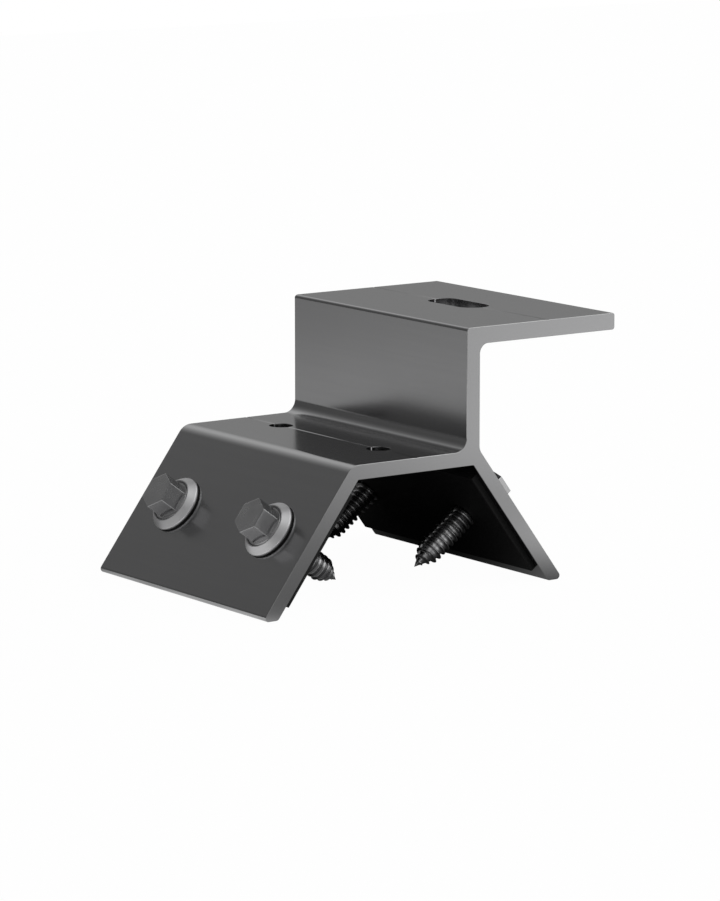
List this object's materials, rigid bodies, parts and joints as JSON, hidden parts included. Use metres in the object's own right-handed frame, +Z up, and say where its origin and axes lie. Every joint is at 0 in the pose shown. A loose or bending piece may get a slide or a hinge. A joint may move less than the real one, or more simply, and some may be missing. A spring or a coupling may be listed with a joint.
{
  "type": "sandwich panel roof bracket",
  "caption": "Extruded aluminium bracket that straddles a sandwich panel's roof rib and carries a rail on its upper flange, with sealing pads, hex head screws and sealing washers.",
  "frame": {"origin": "centre of the saddle's underside, where the crown of the roof rib sits", "axes": "+X across the rib towards the flange tip, +Y along the extrusion towards its rear end, +Z up"},
  "size_m": [0.1003, 0.07, 0.0624],
  "materials": {
    "anodised_aluminium": "dark grey satin anodised, with lighter sawn ends",
    "pad_rubber": "matt black foam rubber",
    "screw_steel": "plain stainless steel, lightly polished",
    "washer_steel": "bright pressed stainless steel",
    "gasket_rubber": "matt black rubber"
  },
  "bodies": {
    "root": {"bracket": "anodised_aluminium", "seal_pad_left": "pad_rubber", "seal_pad_right": "pad_rubber", "screw_left_front": "screw_steel", "screw_left_rear": "screw_steel", "screw_right_front": "screw_steel", "screw_right_rear": "screw_steel", "washer_left_front": "washer_steel", "washer_left_rear": "washer_steel", "washer_right_front": "washer_steel", "washer_right_rear": "washer_steel", "gasket_left_front": "gasket_rubber", "gasket_left_rear": "gasket_rubber", "gasket_right_front": "gasket_rubber", "gasket_right_rear": "gasket_rubber"}
  },
  "joints": []
}
